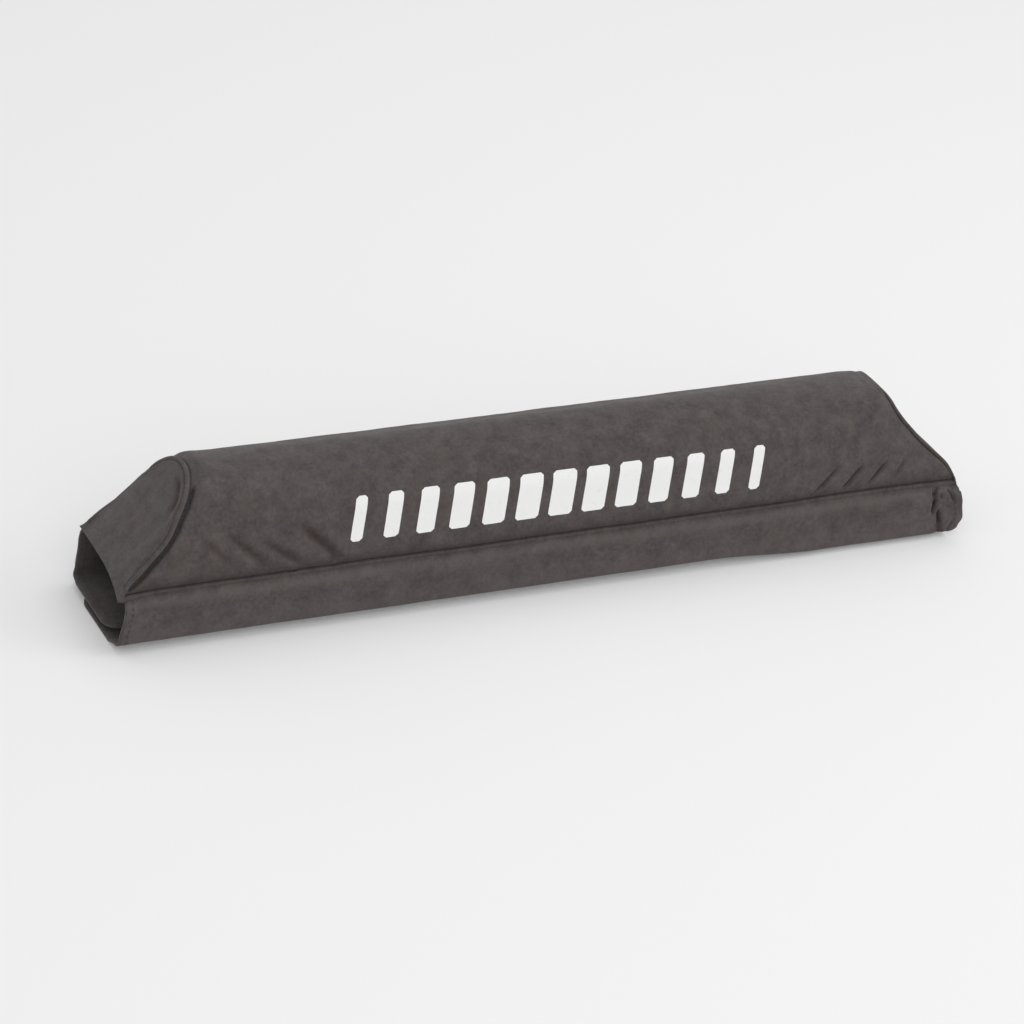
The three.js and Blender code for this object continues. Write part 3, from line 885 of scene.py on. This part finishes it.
# Unevenness of the hanging cloth: rise, length along X, height and seed
FRONT_UNEVEN = ((0.5 * MM, 38 * MM, 22 * MM, 2), (0.2 * MM, 11 * MM, 11 * MM, 6))
REAR_UNEVEN = ((0.5 * MM, FLAP_HIGH.x / 9, 25 * MM, 14),)


def flap_run(bm, level):
    """Draws the middle of a flap's cloth: down from the seam, round the tunnel's edge, and along"""
    free_edge = FLAP_HIGH.y
    across = FLAP_Y - FLAP_BEND_RADIUS - free_edge
    down = FLAP_BEND_Z - level - FLAP_LEVEL_RADIUS
    fall = 0.0
    if level < FLAP_BEND_Z - FLAP_BEND_RADIUS - TINY:
        fall = math.atan2(down, across)
        fall += math.asin((FLAP_LEVEL_RADIUS - FLAP_BEND_RADIUS) / math.hypot(across, down))
    vert = bm.verts.new((0, -FLAP_Y, SEAM_Z - GAP))
    vert = run(bm, vert, (0, -FLAP_Y, FLAP_BEND_Z), HANG_STEPS)
    bend = Vector((0, FLAP_BEND_RADIUS - FLAP_Y, FLAP_BEND_Z))
    vert = swing(bm, vert, bend, math.pi / 2 - fall, BEND_STEPS)
    if fall:
        slope = (vert.co.z - level - FLAP_LEVEL_RADIUS * (1 - math.cos(fall))) / math.sin(fall)
        vert = run(bm, vert, vert.co + slope * Vector((0, math.cos(fall), -math.sin(fall))), SLOPE_STEPS)
        centre = vert.co + FLAP_LEVEL_RADIUS * Vector((0, math.sin(fall), math.cos(fall)))
        vert = swing(bm, vert, centre, fall, 2)
    run(bm, vert, (0, free_edge, level), LEVEL_STEPS)


def pit_relief(x, z):
    """Depth of the pit that the tucked end of the front flap makes, along its crooked line"""
    nearest = min(
        (Vector((x, z)) / MM - Vector(a).lerp(Vector(b), share)).length
        for a, b in zip(PIT_AT, PIT_AT[1:]) for share in (0, 0.25, 0.5, 0.75, 1))
    return PIT_DEPTH * bump(nearest * MM, 0, PIT_WIDTH)


def hanging_at(y):
    """1 on the part of a flap that hangs, and 0 on the part that lies under the tunnel"""
    return smooth_step(-y, FLAP_Y - 3 * FLAP_BEND_RADIUS, FLAP_Y)


def unevenness(x, z, waves):
    """How far hanging cloth stands out by chance"""
    return sum(rise * noise.noise(Vector((x / wide, seed, z / tall))) for rise, wide, tall, seed in waves)


def hang_front(bm):
    """Gives the hanging part of the front flap its flared ends, its pit, its dent and its sag"""
    tucked = [e for e in bm.edges if min(v.co.x for v in e.verts) > TUCKED_FROM]
    bmesh.ops.subdivide_edges(bm, edges=tucked, cuts=TUCKED_CUTS, use_grid_fill=True)
    valley = bm.verts.layers.float["valley"]
    for vert in bm.verts:
        u, y, z = vert.co
        side = 1 if u > 0 else -1
        height = z / MM
        hanging = hanging_at(y)
        x = u * (FLAP_HIGH.x + (followed(FLAP_ENDS[side], height) * MM - FLAP_HIGH.x) * hanging)
        out = followed(FLAP_STANDS_OUT, height) * MM
        out += EAR_FLARE * smooth_step(x, EAR_TIP - EAR_LENGTH, EAR_TIP) * smooth_step(z, 0, EAR_HEIGHT)
        pit = pit_relief(x, z) - sum(ripple_relief(x, z, crease) for crease in TUCK_CREASES)
        out -= pit
        dent = (Vector((x, z)) / MM - Vector(DENT_AT)).length * MM
        out -= DENT_DEPTH * bump(dent, 0, DENT_WIDTH)
        out += unevenness(x, z, FRONT_UNEVEN)
        sag = FLAP_SAG * smooth_step(x, *FLAP_SAG_ALONG) * (1 - smooth_step(z, *FLAP_SAG_HEIGHTS))
        sag = min(sag, FLAP_SAG_MOST * (z - FLAP_THICKNESS / 2))
        dip = seam_dip(x, y) * smooth_step(z, *FLAP_FOLLOWS_SEAM)
        # Painted shade in the pit and under the seam, and a painted highlight along the pale bands, kept in
        # the valley measure
        shade = max(PIT_SHADE * pit, TUCK_SHADE * smooth_step(z, *FLAP_TUCKS_IN))
        painted_highlight = sum(share * bump(height, middle, width) for middle, width, share in FLAP_PAINTED_HIGHLIGHTS)
        painted_highlight *= PAINTED_HIGHLIGHT_FULL * (1 - smooth_step(abs(pit), 0, HIGHLIGHT_OFF_CREASES))
        vert[valley] = hanging * (shade + painted_highlight)
        vert.co = (x, y - (out + FLAP_SAG_OUT * sag) * hanging, z - dip - sag)


def hang_rear(bm):
    """Gives the rear flap the plain bow of its ends and the unevenness of hanging cloth"""
    for vert in bm.verts:
        u, y, z = vert.co
        ends = REAR_FLAP_ENDS[-1 if u > 0 else 1]
        bow = (FLAP_HIGH.x - followed(ends, z / MM) * MM) * smooth_step(-y, REAR_BOW_FROM, FLAP_Y)
        tuck = REAR_TUCK * smooth_step(z, *FLAP_TUCKS_IN)
        tuck -= unevenness(u * FLAP_HIGH.x, z, REAR_UNEVEN)
        dip = seam_dip(-u * FLAP_HIGH.x, -y) * smooth_step(z, *FLAP_FOLLOWS_SEAM)
        vert.co = (u * (FLAP_HIGH.x - bow), y + tuck * hanging_at(y), z - dip)


def round_free_corners(bm):
    """Draws in the ends of the flap near its free edge, which rounds the two corners there"""
    for vert in bm.verts:
        into = vert.co.y - (FLAP_HIGH.y - FLAP_CORNER)
        if into > 0:
            drawn = FLAP_CORNER - math.sqrt(max(0.0, FLAP_CORNER ** 2 - into ** 2))
            vert.co.x *= 1 - drawn / FLAP_HIGH.x


def wrap_flap(name, level, hang):
    """A flap in the front flap's place, with its weave laid down it, as a piece"""
    bm = bmesh.new()
    flap_run(bm, level)
    down, hem, _ = vertex_measures(bm, "down", "hem", "valley")
    cut = measure(bm, down)
    sweep(bm, FLAP_STATIONS)
    for vert in bm.verts:
        vert[hem] = min((1 - abs(vert.co.x)) * FLAP_HIGH.x, cut - vert[down])
    weave = bm.loops.layers.uv.new("weave")
    for face in bm.faces:
        for loop in face.loops:
            loop[weave].uv = (loop.vert.co.x * FLAP_HIGH.x, loop.vert[down])
    round_free_corners(bm)
    hang(bm)
    bmesh.ops.recalc_face_normals(bm, faces=bm.faces)
    flap = new_piece(name, bm, cloth)
    fold = flap.modifiers.new("doubled", "SOLIDIFY")
    fold.thickness = FLAP_THICKNESS
    fold.offset = 0
    return flap, cut


front_flap, front_cut = wrap_flap("wrap_flap_front", FLAP_LOW.z + FLAP_THICKNESS / 2, hang_front)
rear_flap, rear_cut = wrap_flap("wrap_flap_rear", FLAP_BEND_Z - FLAP_BEND_RADIUS, hang_rear)
rear_flap.data.transform(Matrix.Rotation(math.pi, 4, "Z"))
for flap, node, cut, below in (
    (front_flap, "front_wrap_flap", front_cut, ["loop_tape"]),
    (rear_flap, "rear_wrap_flap", rear_cut, ["hook_tape"]),
):
    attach(flap, "root")
    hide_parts(node)

# Tapes
# Two long strips of black polyamide hook-and-loop tape, sewn on along both edges. The hook tape
# is on the front flap and the loop tape on the rear one, and they grip each other in between.
HOOK_PITCH = 1.6 * MM
HOOK_RELIEF = 0.8 * MM
LOOP_TUFTS = 700
LOOP_RELIEF = 0.7 * MM
TAPE_DARK = (0.008, 0.008, 0.009, 1)
TAPE_PALE = (0.030, 0.030, 0.032, 1)


def hooked(name):
    """Stiff tape covered with rows of fine moulded hooks"""
    material, add, fill = shader(name)
    place = add("TexCoord").outputs["Object"]
    hooks = add("TexVoronoi", {"Vector": place, "Scale": 1 / HOOK_PITCH, "Randomness": 0.25})
    tips = add("MapRange", {"Value": hooks.outputs["Distance"], "From Min": 0.15, "From Max": 0.5,
                            "To Min": 1, "To Max": 0}).outputs["Result"]
    relief = add("Bump", {"Distance": HOOK_RELIEF, "Height": tips})
    fill({
        "Base Color": mixed(add, tips, TAPE_DARK, TAPE_PALE), "Normal": relief.outputs["Normal"],
        "Roughness": 0.45,
    })
    return material


def looped(name):
    """Soft tape covered with a tangled nap of fine loops"""
    material, add, fill = shader(name)
    place = add("TexCoord").outputs["Object"]
    nap = add("TexNoise", {"Vector": place, "Scale": LOOP_TUFTS, "Detail": 5, "Roughness": 0.75,
                           "Distortion": 1.2})
    tufts = add("MapRange", {"Value": nap.outputs["Fac"], "From Min": 0.35, "From Max": 0.65})
    relief = add("Bump", {"Distance": LOOP_RELIEF, "Height": tufts.outputs["Result"]})
    fill({
        "Base Color": mixed(add, tufts.outputs["Result"], TAPE_DARK, TAPE_PALE),
        "Normal": relief.outputs["Normal"], "Roughness": 0.95, "Sheen Weight": 0.3,
    })
    return material


for node, material in (("hook_tape", hooked("hook_tape")), ("loop_tape", looped("loop_tape"))):
    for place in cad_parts[node].material_slots:
        place.material = material

# Stitches
# Lockstitches of charcoal polyester thread: one row inside each end seam, one round the hem of
# each flap, on both of its faces, and one along each edge of the tapes.
STITCH_PITCH = 4 * MM
STITCH_LENGTH = 3 * MM
THREAD_RADIUS = 0.26 * MM
THREAD_SINKS = 0.08 * MM
FLAP_HEM = 5 * MM
TAPE_HEM = 2.2 * MM
THREAD_DARK = (0.030, 0.026, 0.026, 1)
THREAD_PALE = (0.085, 0.075, 0.073, 1)
FIBRES = 1500
FIBRE_RELIEF = 0.1 * MM


def contour(bm, layer, value):
    """The longest line of places and normals where a value at the vertices crosses a level"""
    crossed = {}
    for edge in bm.edges:
        a, b = edge.verts
        if (a[layer] < value) != (b[layer] < value):
            share = (value - a[layer]) / (b[layer] - a[layer])
            crossed[edge] = (a.co.lerp(b.co, share), a.normal.lerp(b.normal, share))
    longest, met = [], set()
    for first in crossed:
        ends = [e for f in first.link_faces for e in f.edges if e is not first and e in crossed]
        if len(ends) != 1 or first in met:
            continue
        line, ahead = [], [first]
        while ahead:
            line.append(crossed[ahead[0]])
            met.add(ahead[0])
            ahead = [e for f in ahead[0].link_faces for e in f.edges if e in crossed and e not in met]
        longest = max(longest, line, key=len)
    return longest


def stitch_places(line, above):
    """Place and direction of each stitch along a line of places and normals, at a height above it"""
    travelled, due = 0.0, STITCH_PITCH
    for (here, up), (there, _) in zip(line, line[1:]):
        stride = there - here
        while stride.length > TINY and travelled + stride.length > due:
            middle = here + stride * ((due - travelled) / stride.length) + up.normalized() * above
            yield Matrix.Translation(middle) @ stride.to_track_quat("Z", "X").to_matrix().to_4x4()
            due += STITCH_PITCH
        travelled += stride.length


def tape_rows(tape, level, up):
    """A row along each long edge of a tape, on the far face of the flap that carries it"""
    low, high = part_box(tape)
    ends = (low.x + TAPE_HEM, high.x - TAPE_HEM)
    return [([(Vector((x, y, level)), Vector((0, 0, up))) for x in ends], THREAD_RADIUS - THREAD_SINKS)
            for y in (low.y + TAPE_HEM, high.y - TAPE_HEM)]


def stitched(name, rows):
    """The stitches of several rows, each a line and a height above it, as a piece"""
    bm = bmesh.new()
    bmesh.ops.create_uvsphere(bm, u_segments=6, v_segments=4, radius=1)
    stitch = bpy.data.meshes.new("stitch")
    bm.to_mesh(stitch)
    bm.clear()
    stitch.transform(Matrix.Diagonal((THREAD_RADIUS, THREAD_RADIUS, STITCH_LENGTH / 2, 1)))
    for line, above in rows:
        for place in stitch_places(line, above):
            stitch.transform(place)
            bm.from_mesh(stitch)
            stitch.transform(place.inverted())
    bpy.data.meshes.remove(stitch)
    piece = new_piece(name, bm, thread)
    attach(piece, "root")


thread, thread_add, thread_fill = shader("polyester_thread")
thread_place = thread_add("TexCoord").outputs["Object"]
fibres = thread_add("TexNoise", {"Vector": thread_place, "Scale": FIBRES, "Detail": 3})
thread_relief = thread_add("Bump", {"Distance": FIBRE_RELIEF, "Height": fibres.outputs["Fac"]})
thread_fill({
    "Base Color": mixed(thread_add, fibres.outputs["Fac"], THREAD_DARK, THREAD_PALE),
    "Normal": thread_relief.outputs["Normal"], "Roughness": 0.6,
})

for end in ("left_end", "right_end"):
    bm = opened(bpy.data.objects["cover_" + end].data)
    bm.normal_update()
    seam_row = contour(bm, bm.verts.layers.float["hem"], STITCH_LINE)
    seam_row = [(place, up) for place, up in seam_row if place.z > SEAM_Z]
    stitched(end + "_stitches", [(seam_row, THREAD_RADIUS - THREAD_SINKS)])
    bm.free()

for flap in (front_flap, rear_flap):
    bm = opened(flap.data)
    bm.normal_update()
    hem_row = contour(bm, bm.verts.layers.float["hem"], FLAP_HEM)
    face = FLAP_THICKNESS / 2 + THREAD_RADIUS - THREAD_SINKS
    stitched(flap.name + "_stitches", [(hem_row, face), (hem_row, -face)])
    bm.free()

rear_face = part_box("rear_wrap_flap")[0].z + FLAP_THICKNESS
stitched("tape_stitches", tape_rows("hook_tape", FLAP_LOW.z, -1) + tape_rows("loop_tape", rear_face, 1))

# Print
# A plain row of slanted white bars, screen-printed on the front flank. The ink lies on the cloth
# and follows its weave and its swell.
PRINT_FROM = -153 * MM
PRINT_TO = 158 * MM
PRINT_FOOTS = (57 * MM, 55.5 * MM)
PRINT_TALL = 27.5 * MM
PRINT_BARS = 13
BAR_WIDEST = 17 * MM
BAR_NARROWEST = 7 * MM
BAR_SLANT = math.radians(12)
BAR_CORNER = 2 * MM
BAR_GRID = (8, 18)
BEFORE_FRONT = -200 * MM
INK_ABOVE = 0.12 * MM
INK_WHITE = (0.86, 0.86, 0.855, 1)
INK_WORN = (0.74, 0.735, 0.73, 1)
INK_WEAR = 240
INK_RELIEF = 0.08 * MM


def printed(name):
    """White ink that lets the weave show, slightly thinner in places"""
    material, add, fill = shader(name)
    wear = add("TexNoise", {"Vector": add("TexCoord").outputs["Object"], "Scale": INK_WEAR, "Detail": 4})
    thin = add("MapRange", {"Value": wear.outputs["Fac"], "From Min": 0.58, "From Max": 0.78,
                            "To Max": 0.5})
    fill({
        "Base Color": mixed(add, thin.outputs["Result"], INK_WHITE, INK_WORN),
        "Normal": plain_weave(add, INK_RELIEF).outputs["Normal"], "Roughness": 0.6,
    })
    return material


def print_bars(cloth_piece):
    """The bars, each a fine grid with rounded corners that is laid on the cloth"""
    ground = opened(cloth_piece.data)
    surface = BVHTree.FromBMesh(ground)
    ground.free()
    bm = bmesh.new()
    weave = bm.loops.layers.uv.new("weave")
    for index in range(PRINT_BARS):
        share = (index + 0.5) / PRINT_BARS
        wide = BAR_NARROWEST + (BAR_WIDEST - BAR_NARROWEST) * math.sin(math.pi * share)
        middle = Vector((PRINT_FROM + (PRINT_TO - PRINT_FROM) * share, 0, 0))
        foot = PRINT_FOOTS[0] + (PRINT_FOOTS[1] - PRINT_FOOTS[0]) * share
        bar = bmesh.ops.create_grid(bm, x_segments=BAR_GRID[0], y_segments=BAR_GRID[1], size=0.5)["verts"]
        for vert in bar:
            up = (vert.co.y + 0.5) * PRINT_TALL
            from_end = min(up, PRINT_TALL - up)
            cut_in = max(0.0, BAR_CORNER - from_end)
            round_in = BAR_CORNER - math.sqrt(BAR_CORNER ** 2 - cut_in ** 2)
            across = 2 * vert.co.x * (wide / 2 - round_in)
            slant = (up - PRINT_TALL / 2) * math.tan(BAR_SLANT)
            sight = middle + Vector((across + slant, BEFORE_FRONT, foot + up))
            place, normal, _, _ = surface.ray_cast(sight, Vector((0, 1, 0)))
            vert.co = place + normal * INK_ABOVE
    for face in bm.faces:
        for loop in face.loops:
            loop[weave].uv = (loop.vert.co.x, loop.vert.co.z / math.cos(FLANK_LEAN))
    return bm


bars = new_piece("printed_bars", print_bars(bpy.data.objects["cover_top"]), printed("white_ink"))
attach(bars, "root")
